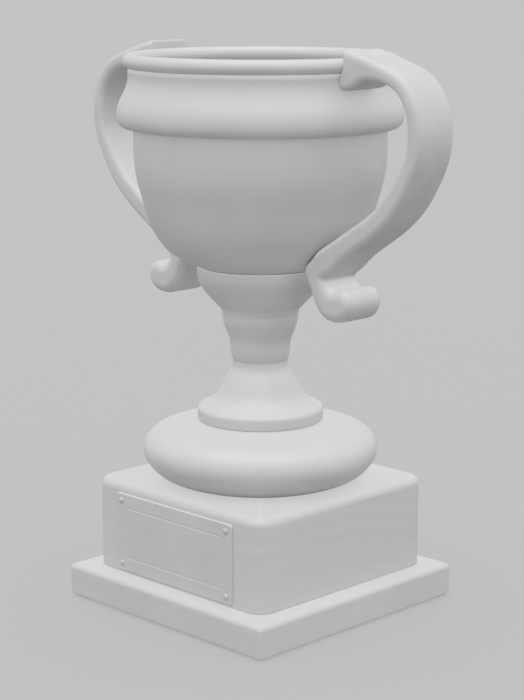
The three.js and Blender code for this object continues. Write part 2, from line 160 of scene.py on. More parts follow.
def smooth(points, spacing=FINE, closed=False):
    """Evenly spaced points on the cubic spline through the given ones."""
    p = np.array([*points, points[0]] if closed else points, float)
    h = np.linalg.norm(np.diff(p[:, :2], axis=0), axis=1)
    n = len(p)
    slope = np.diff(p, axis=0) / h[:, None]
    left, right = np.eye(n), np.zeros_like(p)
    for i in range(1, n - 1):
        left[i, i - 1 : i + 2] = h[i - 1], 2 * (h[i - 1] + h[i]), h[i]
        right[i] = 6 * (slope[i] - slope[i - 1])
    if closed:
        left[0, -1] = -1
        left[-1, [0, 1, -2, -1]] = 2 * h[0], h[0], h[-1], 2 * h[-1]
        right[-1] = 6 * (slope[0] - slope[-1])
    bend = np.linalg.solve(left, right)
    knots = np.concatenate([[0], np.cumsum(h)])
    at = np.linspace(0, knots[-1], SPLINE_POINTS * n)
    k = np.clip(np.searchsorted(knots, at, side="right") - 1, 0, n - 2)
    done, todo, whole = (at - knots[k])[:, None], (knots[k + 1] - at)[:, None], h[k][:, None]
    line = (bend[k] * todo**3 + bend[k + 1] * done**3) / (6 * whole)
    line += (p[k] / whole - bend[k] * whole / 6) * todo
    line += (p[k + 1] / whole - bend[k + 1] * whole / 6) * done
    return spaced(line, spacing)


def arc(x, y, radius, start, end, step=8):
    """Points on a circle, from one angle to another in degrees."""
    count = math.ceil(abs(end - start) / step) + 1
    angles = np.radians(np.linspace(start, end, count))
    return np.stack([x + radius * np.cos(angles), y + radius * np.sin(angles)], axis=1)


def offset(line, distance):
    """The line moved sideways; positive is to its left."""
    ahead = np.gradient(line[:, :2], axis=0)
    ahead /= np.linalg.norm(ahead, axis=1, keepdims=True)
    left = np.stack([-ahead[:, 1], ahead[:, 0]], axis=1)
    return line[:, :2] + left * np.reshape(distance, (-1, 1))


def raised(*lines):
    """One outline from several lines, with its heights above the ground."""
    return np.concatenate([np.atleast_2d(x) for x in lines]) + (0, PLINTH_FOOT)


# Meshes, as (vertices, faces)


def turned(outline, turns=TURN, shape=None):
    """A closed (radius, height) outline, anticlockwise, turned about Z. A point at radius 0 is a
    pole. shape changes the radius by height and angle."""
    outline = np.array(outline, float)
    angle = np.repeat(np.arange(turns)[:, None] * 2 * np.pi / turns, len(outline), axis=1)
    radius, height = (np.tile(column, (turns, 1)) for column in outline.T)
    if shape:
        radius = shape(radius, height, angle)
    points = np.stack([radius * np.cos(angle), radius * np.sin(angle), height], axis=-1)
    index = np.arange(angle.size).reshape(angle.shape)
    poles = outline[:, 0] < 1e-9
    index[:, poles] = index[0, poles]
    turned_on = np.roll(index, -1, axis=0)
    ring = [index, turned_on, np.roll(turned_on, -1, axis=1), np.roll(index, -1, axis=1)]
    return points.reshape(-1, 3), np.stack(ring, axis=-1).reshape(-1, 4)


def cylinder(radius, length, turns=SMALL_TURN):
    """A plain cylinder, which is the cutting tool for a bore or a recess."""
    return turned([(0, 0), (radius, 0), (radius, length), (0, length)], turns)


def stacked(loops, through=False):
    """Loops of points joined one to the next. A solid with a hole through it joins the last to the
    first, and any other is closed by a flat face at each end."""
    loops = np.array(loops, float)
    rows, count = loops.shape[:2]
    index = np.arange(rows * count).reshape(rows, count)
    if through:
        index = np.concatenate([index, index[:1]])
    turned_on = np.roll(index, -1, axis=1)
    sides = [index[:-1], turned_on[:-1], turned_on[1:], index[1:]]
    faces = np.stack(sides, axis=-1).reshape(-1, 4).tolist()
    if not through:
        faces += [index[0, ::-1].tolist(), index[-1].tolist()]
    return loops.reshape(-1, 3), faces


def joined(*meshes):
    """Several meshes as one."""
    vertices, faces, count = [], [], 0
    for v, f in meshes:
        vertices.append(v)
        faces += [[i + count for i in face] for face in f]
        count += len(v)
    return np.concatenate(vertices), faces


def moved(mesh, by):
    """The mesh moved by a distance along each axis."""
    return mesh[0] + by, mesh[1]


def along(mesh, origin, axis):
    """A mesh made along +Z from 0, laid along the axis from the origin."""
    turn = np.array(Vector(axis).to_track_quat("Z", "Y").to_matrix())
    return mesh[0] @ turn.T + np.array(origin), mesh[1]


def turned_round(mesh):
    """The mesh turned half round Z."""
    return mesh[0] * (-1, -1, 1), mesh[1]


def rounded_loop(half_x, half_y, corner, inset, height, sides=14, turn=10):
    """Points anticlockwise round a rounded rectangle that is moved inwards by the inset."""
    radius = max(corner - inset, 0.05)
    x, y = half_x - inset - radius, half_y - inset - radius
    quarters = [(x, y, 0), (-x, y, 90), (-x, -y, 180), (x, -y, 270)]
    corners = [arc(cx, cy, radius, a, a + 90, 90 / turn) for cx, cy, a in quarters]
    loop = []
    for this, after in zip(corners, corners[1:] + corners[:1], strict=True):
        share = np.linspace(0, 1, sides + 2)[1:-1, None]
        loop += [this, this[-1] + (after[0] - this[-1]) * share]
    flat = np.concatenate(loop)
    return np.column_stack([flat, np.full(len(flat), height)])


def circle_like(loop, radius, height):
    """A circle with a point at each of the loop's own angles."""
    angle = np.arctan2(loop[:, 1], loop[:, 0])
    x, y = radius * np.cos(angle), radius * np.sin(angle)
    return np.column_stack([x, y, np.full(len(loop), height)])


# Places in the CAD


def corner_span(node):
    """The low and high corners of the node's box."""
    low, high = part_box(node)
    return np.array(low) / MM, np.array(high) / MM


def middle_of(node):
    """The middle of the node's box."""
    low, high = corner_span(node)
    return (low + high) / 2


def node_points(node):
    """The node's corner points."""
    return np.array([v.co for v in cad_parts[node].data.vertices]) / MM


def numbered(kind):
    """The names of the four nodes of one kind."""
    return [f"{kind}_{i}" for i in range(1, 5)]


# Materials


METAL = 0.25  # metals are shown as lacquered and matt, so only partly metallic
GREY = np.array((1.0, 1.0, 1.0))


class Paint:
    """A Principled material under construction. Coordinates are the row frame's, in metres."""

    def __init__(self, name, **sockets):
        self.material = bpy.data.materials.new(name)
        self.material.use_nodes = True
        self.tree = self.material.node_tree
        self.shader = self.tree.nodes["Principled BSDF"]
        for key, value in sockets.items():
            self.shader.inputs[key.replace("_", " ")].default_value = value
        self.place = self.node("ShaderNodeTexCoord").outputs["Object"]
        self.normal = None

    def node(self, kind, inputs=(), **settings):
        """A new node with its inputs linked or set."""
        made = self.tree.nodes.new(kind)
        for key, value in settings.items():
            setattr(made, key, value)
        for key, value in dict(inputs).items():
            if isinstance(value, bpy.types.NodeSocket):
                self.tree.links.new(value, made.inputs[key])
            else:
                made.inputs[key].default_value = value
        return made

    def maths(self, operation, *values):
        """The result of an operation on numbers."""
        return self.node("ShaderNodeMath", dict(enumerate(values)), operation=operation).outputs[0]

    def weighted(self, first, weight, second, other_weight):
        """Two values added in those shares."""
        parts = self.maths("MULTIPLY", first, weight), self.maths("MULTIPLY", second, other_weight)
        return self.maths("ADD", *parts)

    def vector(self, operation, *values):
        """The result of an operation on vectors."""
        made = self.node("ShaderNodeVectorMath", dict(enumerate(values)), operation=operation)
        return made.outputs["Value" if operation in ("LENGTH", "DOT_PRODUCT") else "Vector"]

    def scaled(self, vector, factor):
        """The vector times one number."""
        made = self.vector("SCALE", vector)
        made.node.inputs["Scale"].default_value = factor
        return made

    def stretched(self, scales):
        """The coordinates scaled by a different number along each axis."""
        return self.vector("MULTIPLY", self.place, scales)

    def turning(self, scale, drift):
        """Coordinates in which noise runs in rings round Z, with a little drift along each ring."""
        across = self.vector("LENGTH", self.stretched((1.0, 1.0, 0.0)))
        height = self.node("ShaderNodeSeparateXYZ", {0: self.place}).outputs["Z"]
        ring = self.node("ShaderNodeCombineXYZ", {"X": across, "Z": height}).outputs[0]
        return self.vector("ADD", self.scaled(ring, scale), self.scaled(self.place, drift))

    def noise(self, place, scale, detail=2.0, roughness=0.5):
        """Soft noise around 0.5."""
        inputs = {"Vector": place, "Scale": scale, "Detail": detail, "Roughness": roughness}
        return self.node("ShaderNodeTexNoise", inputs).outputs["Fac"]

    def rerange(self, value, low, high, start=0.0, end=1.0):
        """The value moved from one range to another and kept inside it."""
        inputs = {"Value": value, "From Min": start, "From Max": end, "To Min": low, "To Max": high}
        return self.node("ShaderNodeMapRange", inputs, clamp=True).outputs[0]

    def shaded(self, colours, share):
        """The base colour between two colours."""
        mix = self.node("ShaderNodeMix", {"Factor": share}, data_type="RGBA")
        mix.inputs["A"].default_value, mix.inputs["B"].default_value = [(*c, 1) for c in colours]
        return mix.outputs["Result"]

    def towards(self, colour, other, share):
        """The colour shifted towards another one by a share."""
        mix = self.node("ShaderNodeMix", {"Factor": share, "A": colour}, data_type="RGBA")
        mix.inputs["B"].default_value = (*other, 1)
        return mix.outputs["Result"]

    def recess_shade_and_grime(self, colour, base, distance=0.003, strength=0.3):
        """The colour darkened where other surfaces are near: painted shade in recesses and joins, with
        grime that a cloth misses.
        """
        # painted shade: ambient occlusion darkens the colour in recesses and where parts meet, with
        # some grime
        room = self.node("ShaderNodeAmbientOcclusion", {"Distance": distance}, samples=6).outputs["AO"]
        return self.towards(colour, base * 0.6, self.rerange(room, strength, 0.0, 0.15, 0.75))

    def worn(self, colour, bright, strength):
        """The colour brightened along outward edges."""
        edge = self.node("ShaderNodeNewGeometry").outputs["Pointiness"]
        return self.towards(colour, bright, self.rerange(edge, 0.0, strength, 0.515, 0.60))

    def bump(self, height, depth, strength=1.0):
        """Adds relief of that depth in metres."""
        inputs = {"Height": height, "Distance": depth, "Strength": strength}
        if self.normal:
            inputs["Normal"] = self.normal
        self.normal = self.node("ShaderNodeBump", inputs).outputs[0]

    def done(self, colour, roughness):
        """The finished material."""
        links = {"Base Color": colour, "Roughness": roughness, "Normal": self.normal}
        for key, socket in links.items():
            self.tree.links.new(socket, self.shader.inputs[key])
        return self.material


def spun_metal(base, line_depth, roughness):
    """Satin metal turned on a lathe: fine rings, with cloudier patches where it has been wiped."""
    paint = Paint("spun_metal", Metallic=METAL, Coat_Weight=0.08, Coat_Roughness=0.35)
    rings = paint.noise(paint.turning(2600, 35), 1.0, 3)
    fine = paint.noise(paint.turning(9000, 90), 1.0, 2)
    clouds = paint.noise(paint.place, 38, 4, 0.55)
    specks = paint.noise(paint.place, 900, 2)
    share = paint.rerange(paint.weighted(clouds, 0.7, rings, 0.3), 0, 1, 0.3, 0.7)
    # darker in recesses and joins: painted shade, with some grime
    colour = paint.recess_shade_and_grime(paint.shaded([base * 0.9, base * 1.07], share), base)
    paint.bump(rings, line_depth, 0.35)
    paint.bump(fine, line_depth * 0.4, 0.25)
    paint.bump(specks, 0.00002, 0.2)
    rough = paint.weighted(clouds, 0.12, fine, 0.08)
    return paint.done(colour, paint.maths("ADD", rough, roughness - 0.1))


def cast_metal(base, roughness):
    """Satin cast metal: a fine grain over soft unevenness left by the mould and the file."""
    paint = Paint("cast_metal", Metallic=METAL, Coat_Weight=0.08, Coat_Roughness=0.35)
    grain = paint.noise(paint.place, 2200, 3, 0.6)
    uneven = paint.noise(paint.place, 120, 3, 0.5)
    clouds = paint.noise(paint.place, 45, 4, 0.55)
    share = paint.rerange(clouds, 0, 1, 0.32, 0.68)
    # darker in recesses and joins: painted shade, with some grime
    colour = paint.recess_shade_and_grime(paint.shaded([base * 0.9, base * 1.07], share), base)
    paint.bump(uneven, 0.0004, 0.3)
    paint.bump(grain, 0.00006, 0.4)
    rough = paint.weighted(clouds, 0.12, grain, 0.08)
    return paint.done(colour, paint.maths("ADD", rough, roughness - 0.1))


def lacquered_wood(base, roughness):
    """Pale satin lacquer, with the grain of boards that run along X faint beneath it."""
    paint = Paint("lacquered_wood", Coat_Weight=0.2, Coat_Roughness=0.3)
    wander = paint.node("ShaderNodeTexNoise", {"Vector": paint.place, "Scale": 14.0}).outputs["Color"]
    bent = paint.vector("ADD", paint.place, paint.scaled(wander, 0.012))
    across = paint.vector("MULTIPLY", bent, (0.06, 1.0, 1.0))
    from_heart = paint.vector("LENGTH", paint.vector("ADD", across, (0.0, 0.021, 0.16)))
    rings = paint.node("ShaderNodeCombineXYZ", {"X": from_heart}).outputs[0]
    years = paint.noise(rings, 260, 2, 0.6)
    pores = paint.noise(paint.stretched((60, 1800, 1800)), 1.0, 2, 0.6)
    clouds = paint.noise(paint.place, 26, 3)
    share = paint.rerange(paint.weighted(years, 0.6, clouds, 0.4), 0, 1, 0.33, 0.67)
    # darker in recesses and joins: painted shade, with some grime
    colour = paint.recess_shade_and_grime(paint.shaded([base * 0.88, base * 1.06], share), base)
    colour = paint.worn(colour, base * 1.18, 0.5)
    paint.bump(pores, 0.00004, 0.3)
    paint.bump(years, 0.00006, 0.25)
    paint.bump(paint.noise(paint.place, 300, 2), 0.00006, 0.2)
    rough = paint.maths("MULTIPLY", clouds, 0.12)
    return paint.done(colour, paint.maths("ADD", rough, roughness - 0.06))


def brushed_metal(name, base, scales, roughness):
    """Metal with fine scratches along the axis that has a small scale, or with an even grain where
    all three are the same."""
    paint = Paint(name, Metallic=METAL, Coat_Weight=0.05, Coat_Roughness=0.3)
    brushed = paint.noise(paint.stretched(scales), 1.0, 3, 0.65)
    clouds = paint.noise(paint.place, 60, 3)
    share = paint.rerange(paint.weighted(brushed, 0.5, clouds, 0.5), 0, 1, 0.33, 0.67)
    # darker in recesses and joins: painted shade, with some grime
    colour = paint.recess_shade_and_grime(paint.shaded([base * 0.88, base * 1.06], share), base, 0.0015, 0.4)
    paint.bump(brushed, 0.00003, 0.35)
    rough = paint.maths("MULTIPLY", brushed, 0.14)
    return paint.done(colour, paint.maths("ADD", rough, roughness - 0.07))


def felt_cloth(base):
    """Short-pile felt: matted fibres and loose tufts."""
    paint = Paint("felt", Sheen_Weight=0.35, Sheen_Roughness=0.5)
    tangle = paint.noise(paint.place, 1500, 4, 0.7)
    tufts = paint.noise(paint.place, 350, 3, 0.6)
    fibres = paint.noise(paint.stretched((2400, 700, 1500)), 1.0, 3, 0.7)
    share = paint.rerange(paint.weighted(tangle, 0.5, tufts, 0.5), 0, 1, 0.35, 0.65)
    colour = paint.shaded([base * 0.75, base * 1.2], share)
    paint.bump(tufts, 0.0006, 0.5)
    paint.bump(fibres, 0.0002, 0.6)
    return paint.done(colour, paint.rerange(tangle, 0.85, 1.0))


LOOKS = {
    "spun_metal": spun_metal(0.62 * GREY, 0.00006, 0.5),
    "cast_metal": cast_metal(0.60 * GREY, 0.52),
    "lacquered_wood": lacquered_wood(0.57 * GREY, 0.5),
    "plate_metal": brushed_metal("plate_metal", 0.64 * GREY, (90, 4000, 5200), 0.42),
    "fastener_steel": brushed_metal("fastener_steel", 0.5 * GREY, (2500, 2500, 2500), 0.38),
    "felt": felt_cloth(0.12 * GREY),
}


# Pieces


def mesh_named(name, mesh):
    """A Blender mesh in metres, without repeated corners or unused points."""
    vertices, faces = mesh
    clean = []
    for face in faces:
        kept = [i for n, i in enumerate(face) if i != face[n - 1]]
        if len(set(kept)) == len(kept) > 2:
            clean.append([int(i) for i in kept])
    used, renumbered = np.unique(np.concatenate(clean), return_inverse=True)
    ends = np.cumsum([len(face) for face in clean])[:-1]
    loops = [loop.tolist() for loop in np.split(renumbered, ends)]
    made = bpy.data.meshes.new(name)
    made.from_pydata((vertices[used] * MM).tolist(), [], loops)
    made.validate()
    return made


def cut_out(made, tool):
    """Cuts a closed mesh out of a piece."""
    cutter = bpy.data.objects.new("tool", mesh_named("tool", tool))
    bpy.context.scene.collection.objects.link(cutter)
    modifier = made.modifiers.new("cut", "BOOLEAN")
    modifier.operation = "DIFFERENCE"
    modifier.solver = "EXACT"
    modifier.object = cutter
    evaluated = made.evaluated_get(bpy.context.evaluated_depsgraph_get())
    result = bpy.data.meshes.new_from_object(evaluated)
    made.modifiers.clear()
    made.data = result
    bpy.data.objects.remove(cutter)


def piece(node, slot, mesh, tools=(), kind="body", sharp=SHARP):
    """One shown piece that stands for a CAD node, with the tools cut out of it. Edges that turn
    further than the angle are shaded sharp."""
    name = f"{node}_{kind}"
    made = bpy.data.objects.new(name, mesh_named(name, mesh))
    bpy.context.scene.collection.objects.link(made)
    for tool in tools:
        cut_out(made, tool)
    made.data.shade_smooth()
    made.data.set_sharp_from_angle(angle=math.radians(sharp))
    made.data.materials.clear()
    made.data.materials.append(LOOKS[slot])
    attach(made, BODY)
    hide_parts(node)
    return made


# Fastenings. Each is made along +Z from 0.


def threaded(major, pitch, start, end):
    """A shape for turned() that cuts a thread into a shank between two heights."""
    depth = 0.6 * pitch

    def shape(radius, height, angle):
        wave = np.abs((height / pitch - angle / (2 * np.pi)) % 1 - 0.5) * 2
        cut = (radius > major - depth) & (radius <= major) & (height > start) & (height < end)
        return np.where(cut, radius - depth * (1 - wave), radius)

    return shape


def hexagonal(flats):
    """A shape for turned() that limits the radius to a hexagon."""

    def shape(radius, height, angle):
        from_flat = (angle + np.pi / 6) % (np.pi / 3) - np.pi / 6
        return np.minimum(radius, flats / 2 / np.cos(from_flat))

    return shape


def shank(radius, length, spacing):
    """The outline of a shank from 0 up to its chamfered end."""
    chamfer = radius / 2
    side = np.arange(0, length - chamfer, spacing)
    line = np.column_stack([np.full(len(side), radius), side])
    return [*line, (radius, length - chamfer), (radius - chamfer, length), (0, length)]


def screw(spec, length):
    """A domed screw with its head below 0 and a shank of that length above."""
    radius, head, pitch = spec["radius"], spec["head"], spec["pitch"]
    dome = arc(0, 0, 1, -90, -8) * (head, spec["rise"])
    edge = [(head, -0.1), (head - 0.1, 0)]
    outline = [*dome, *edge, *shank(radius, length, pitch / 7)]
    return turned(outline, SMALL_TURN, threaded(radius, pitch, pitch, length - radius / 2))


def cross(spec):
    """The cutting tool for a screw head's cross recess: one plus-shaped prism."""
    long, wide = 0.55 * spec["head"], 0.13 * spec["head"]
    arm = np.array([(long, -wide), (long, wide), (wide, wide)])
    quarter = np.array([(0, 1), (-1, 0)])
    outline = np.concatenate([arm @ np.linalg.matrix_power(quarter, i) for i in range(4)])
    heights = (-2 * spec["rise"], -0.5 * spec["rise"])
    return stacked([np.column_stack([outline, np.full(len(outline), z)]) for z in heights])


def wood_screw():
    """A countersunk screw with a coarse thread and a point."""
    radius, head, length = (PLINTH_SCREW[key] for key in ("radius", "head", "length"))
    point, spacing = PLINTH_SCREW["point"], PLINTH_SCREW["spacing"]
    taper = length - point
    outline = [
        (0, 0.3), (head - 0.1, 0.3), (head, 0.5), (radius, 2.5),
        *[(radius, z) for z in np.arange(2.6, taper, spacing)],
        *[(radius * (length - z) / point, z) for z in np.arange(taper, length, spacing)],
        (0, length),
    ]
    thread = threaded(radius, PLINTH_SCREW["pitch"], PLINTH_SCREW["plain"], taper)
    return turned(outline, SMALL_TURN // 2, thread)


def wood_screw_hole():
    """The cutting tool for a plinth screw's countersunk hole, which starts below the plinth."""
    below, gap = 0.5, 0.3
    mouth, inner = PLINTH_SCREW["head"] + gap, PLINTH_SCREW["radius"] + gap
    end = PLINTH_SCREW["length"] + 0.9
    outline = [(0, 0), (mouth, 0), (mouth, 0.8), (inner, 2.8), (inner, end), (0, end)]
    return moved(turned(outline, SMALL_TURN), (0, 0, -below))


def washer(radius, bore, thickness):
    """A flat washer with rounded edges."""
    edge = thickness / 4
    outline = [
        (bore + edge, 0),
        *arc(radius - edge, edge, edge, -90, 0, 30),
        *arc(radius - edge, thickness - edge, edge, 0, 90, 30),
        *arc(bore + edge, thickness - edge, edge, 90, 180, 30),
        *arc(bore + edge, edge, edge, 180, 240, 30),
    ]
    return turned(outline, 2 * SMALL_TURN)


def nut(height, dome=()):
    """A chamfered hexagonal nut with its bore, or with a dome on top whose outline is given."""
    flats, chamfer, edge = NUT["flats"], NUT["chamfer"], NUT["bore_edge"]
    face, corner = flats / 2 - 0.25, flats / math.sqrt(3)
    top = dome or [(face, height), (BORE + edge, height), (BORE, height - edge)]
    side = [(corner, chamfer), (corner, height - chamfer)]
    outline = [(BORE, edge), (BORE + edge, 0), (face, 0), *side, *top]
    return turned(outline, 2 * SMALL_TURN, hexagonal(flats))


# Plinth


def plinth_slab(node, edges):
    """A square slab with rounded edges and a bore down its middle, in the node's place. The loops
    next to each edge keep the flat faces' shading flat."""
    (_, _, bottom), (half_x, half_y, top) = corner_span(node)
    low_edge, high_edge, close = edges["low_edge"], edges["high_edge"], 0.25
    profile = [
        (low_edge + close, bottom),
        *arc(low_edge, bottom + low_edge, low_edge, 270, 180, 15),
        (0, bottom + low_edge + close),
        (0, top - high_edge - close),
        *arc(high_edge, top - high_edge, high_edge, 180, 90, 10),
        (high_edge + close, top),
    ]
    loops = [rounded_loop(half_x, half_y, edges["corner"], inset, z) for inset, z in profile]
    inside = [circle_like(loops[0], BORE, z) for z in (top, bottom)]
    return stacked([*loops, *inside], through=True)


def plate_mesh():
    """A thin plate with a bevelled edge and a fine line let into its face, which looks along -Y."""
    low, high = corner_span("nameplate")
    (half_x, _, half_z), thick = (high - low) / 2, high[1] - low[1]
    corner, line, deep, wide = NAMEPLATE.values()
    profile = [
        (0.3, 0), (0, 0.05), (0, thick - 0.35), (0.08, thick - 0.16), (0.35, thick),
        (0.6, thick), (line - 0.3, thick), (line, thick), (line + wide, thick - deep),
        (line + 2 * wide, thick - deep), (line + 3 * wide, thick), (line + 3 * wide + 0.3, thick),
    ]
    points, faces = stacked([rounded_loop(half_x, half_z, corner, inset, z) for inset, z in profile])
    upright = np.column_stack([points[:, 0], -points[:, 2], points[:, 1]])
    middle = middle_of("nameplate")
    return upright + (middle[0], high[1], middle[2]), faces


def felt_mesh():
    """A cut sheet of felt: its face lies flat, its cut edge is soft and a little uneven."""
    half_x, half_y, top = corner_span("felt_pad")[1]
    noise = np.random.default_rng(4)
    thick = PAD["thick"]
    loops = []
    for inset, height in ((1.2, 0), (0.25, 0.02), (0.0, 0.3), (0.0, 0.8), (0.2, 1.06), (1.2, thick)):
        z = top * height / thick
        loop = rounded_loop(half_x, half_y, PAD["corner"], inset, z, sides=90, turn=8)
        if 0 < height < thick:
            loop[:, :2] *= 1 - PAD["uneven"] * noise.random((len(loop), 1))
        loops.append(loop)
    return stacked(loops)


INTO_PLINTH = (0, 1, 0)
screw_feet = {}
for node in numbered("plinth_screw"):
    screw_feet[node] = middle_of(node) * (1, 1, 0) + (0, 0, PLINTH_FOOT)
screw_holes = joined(*(moved(wood_screw_hole(), at) for at in screw_feet.values()))
below = COUNTERBORE["below"]
recess = cylinder(COUNTERBORE["radius"], COUNTERBORE["depth"] + below, 2 * SMALL_TURN)
recess = moved(recess, (0, 0, PLINTH_FOOT - below))
pin_heads = {}
for node in numbered("nameplate_pin"):
    pin_heads[node] = middle_of(node)
    pin_heads[node][1] = corner_span(node)[0][1]
pin_hole = cylinder(PIN["radius"] + 0.3, PIN["length"] + 4, SMALL_TURN // 2)
pin_holes = joined(*(along(pin_hole, at, INTO_PLINTH) for at in pin_heads.values()))

piece("plinth_step", "lacquered_wood", plinth_slab("plinth_step", STEP), [screw_holes, recess])
piece("plinth_block", "lacquered_wood", plinth_slab("plinth_block", BLOCK), [screw_holes, pin_holes])
for node, at in screw_feet.items():
    piece(node, "fastener_steel", moved(wood_screw(), at))

piece("nameplate", "plate_metal", plate_mesh(), [pin_holes])
pin_dome = arc(0, 0, 1, -90, 0, 12) * (PIN["head"], PIN["rise"])
pin = turned([*pin_dome, *shank(PIN["radius"], PIN["length"], PIN["spacing"])], SMALL_TURN)
for node, at in pin_heads.items():
    piece(node, "fastener_steel", along(pin, at + (0, PIN["rise"], 0), INTO_PLINTH))

pad_low, pad_high = corner_span("felt_pad")
pad_size = (pad_high - pad_low) * MM
pad = piece("felt_pad", "felt", felt_mesh(), kind="sheet")


# Turned stack


def seated(curve):
    """The curve with its first point lifted off the piece below."""
    line = smooth(curve)
    line[0, 1] += SEAT
    return line


def bored(line):
    """A turned solid with that outside and a bore, flat above and below."""
    return turned(raised((BORE, line[0, 1]), line, (BORE, line[-1, 1])))


def foot_line():
    """The flange's edge and the hollow-sided cone above it."""
    radius, bottom, top = FLANGE["radius"], FLANGE["bottom"] + SEAT, FLANGE["top"]
    edge, chamfer = FLANGE["edge"], FLANGE["chamfer"]
    return np.concatenate([
        [(radius - chamfer - FLANGE["under"], bottom)],
        arc(radius - chamfer, bottom + chamfer, chamfer, -90, 0, 15),
        arc(radius - edge, top - edge, edge, 0, 90, 9),
        smooth(FOOT_CURVE)[1:],
    ])


def calyx_mesh():
    """A small cup with a thin rounded lip, hollowed to the bowl that sits in it."""
    line = seated(CALYX_CURVE)
    rim, height = CALYX_CURVE[-1]
    seat = offset(bowl_line, -CUP_GAP)
    seat = seat[seat[:, 0] < rim - 2 * CALYX_LIP][::-1]
    lip = arc(rim - CALYX_LIP, height, CALYX_LIP, 0, 120, 40)
    return turned(raised((BORE, line[0, 1]), line[:-1], lip, seat, (BORE, seat[-1, 1])))


bowl_line = smooth(BOWL_CURVE)
bowl_radius, bowl_floor = BOWL_CURVE[-1][0], BOWL_CURVE[0][1]
piece("base_ring", "spun_metal", bored(seated(RING_CURVE)))
piece("foot", "spun_metal", bored(foot_line()))
piece("stem", "spun_metal", bored(seated(STEM_CURVE)))
piece("calyx", "spun_metal", calyx_mesh())


# Where the handles' screws go, from the CAD. Each has a point and a direction away from the cup,
# and starts and ends at distances along it.


def lower_place(name, side):
    """The lower screw's place, square to its washer and from the washer's middle."""
    points = node_points(f"handle_{name}_lower_washer")
    middle = (points.min(0) + points.max(0)) / 2
    axis = np.linalg.svd(points - points.mean(0))[2][-1]
    axis = axis * np.sign(axis[0] * side)
    reach = (node_points(f"handle_{name}_lower_screw") - middle) @ axis
    return {"at": middle, "axis": axis, "start": reach.min(), "end": reach.max()}


def upper_place(name, side):
    """The upper screw's place, level and from the cup's own axis."""
    low, high = corner_span(f"handle_{name}_upper_screw")
    middle, length = (low + high) / 2, high[0] - low[0]
    end = abs(middle[0]) + length / 2
    axis = np.array([side, 0, 0])
    return {"at": middle * (0, 0, 1), "axis": axis, "start": end - length, "end": end}


def hole(spec, place, start, end):
    """The cutting tool for a handle's screw hole, between two distances along its line."""
    tool = cylinder(spec["radius"] + HOLE_GAP, end - start)
    return along(tool, place["at"] + place["axis"] * start, place["axis"])


SIDES = {"right": 1, "left": -1}
lower = {name: lower_place(name, side) for name, side in SIDES.items()}
upper = {name: upper_place(name, side) for name, side in SIDES.items()}


# Bowl and rim


def bowl_outline():
    """The bowl's outside, its rounded upper edge and its inside."""
    wall, top, edge = BOWL["wall"], BOWL["top"], BOWL["edge"]
    outer_top = arc(bowl_radius - edge, top - edge, edge, 0, 90, 30)
    inner_top = arc(bowl_radius - wall + edge, top - edge, edge, 90, 180, 30)
    inside = offset(bowl_line, wall)[::-1]
    return raised((BORE, bowl_floor), bowl_line, outer_top, inner_top, inside, (BORE, inside[-1, 1]))


def rim_line():
    """The middle line of the rim's sheet, from the band's lower edge to the end of the rolled lip."""
    roll = LIP["radius"] - SHEET / 2
    rolled = arc(LIP["middle"], LIP["height"], roll, LIP["opens"], LIP["closes"], 6)
    (start_r, start_z), slope = rolled[0], math.radians(LIP["opens"])
    neck, neck_top = BAND_CURVE[-1]
    share = np.linspace(0, 1, 9)[1:-1, None]
    turn_z = start_z + (start_r - neck) / math.tan(slope)
    bend = (1 - share) ** 2 * (neck, neck_top) + 2 * share * (1 - share) * (neck, turn_z)
    bend += share**2 * (start_r, start_z)
    return spaced(np.concatenate([smooth(BAND_CURVE), bend, rolled]), SHEET_FINE)


def round_end(tip, before):
    """Half a circle round an end of the sheet's middle line, from its last two points."""
    out = (tip - before) / np.linalg.norm(tip - before)
    turn = np.array([[out[1], out[0]], [-out[0], out[1]]])
    return tip + arc(0, 0, SHEET / 2, 0, 180, 30)[1:-1] @ turn.T


def rim_outline():
    """Both faces of the rim's sheet, with rounded ends."""
    middle = rim_line()
    outside, within = offset(middle, -SHEET / 2), offset(middle, SHEET / 2)
    return raised(outside, round_end(middle[-1], middle[-2]), within[::-1], round_end(*middle[:2]))


wall_holes = joined(*(hole(LOWER, place, *LOWER_HOLE.values()) for place in lower.values()))
piece("bowl", "spun_metal", turned(bowl_outline()), [wall_holes])
neck_holes = joined(*(hole(UPPER, place, *UPPER_HOLE.values()) for place in upper.values()))
piece("rim_band", "spun_metal", turned(rim_outline()), [neck_holes])
wire = raised(arc(LIP["middle"], LIP["height"], WIRE_RADIUS, 0, 360, 15)[:-1])
piece("rim_wire", "fastener_steel", turned(wire))


# Handles, from a distance field: the strap and the scroll flow into each other, and the casting is
# cut to the bowl and the rim


def polygon_distance(x, y, polygon):
    """The distance to a closed polygon, negative inside it."""
    nearest, inside_it = np.full(x.shape, np.inf), np.zeros(x.shape, bool)
    for (ax, ay), (bx, by) in zip(polygon, np.roll(polygon, -1, axis=0), strict=True):
        dx, dy = bx - ax, by - ay
        share = np.clip(((x - ax) * dx + (y - ay) * dy) / (dx * dx + dy * dy), 0, 1)
        nearest = np.minimum(nearest, (x - ax - share * dx) ** 2 + (y - ay - share * dy) ** 2)
        inside_it ^= ((ay > y) != (by > y)) & (x < dx * (y - ay) / (dy or 1) + ax)
    return np.where(inside_it, -1, 1) * np.sqrt(nearest)


def softer(a, b, blend):
    """The greater of two fields, with the crease between them rounded."""
    return np.maximum(a, b) + np.maximum(blend - np.abs(a - b), 0) ** 2 / (4 * blend)


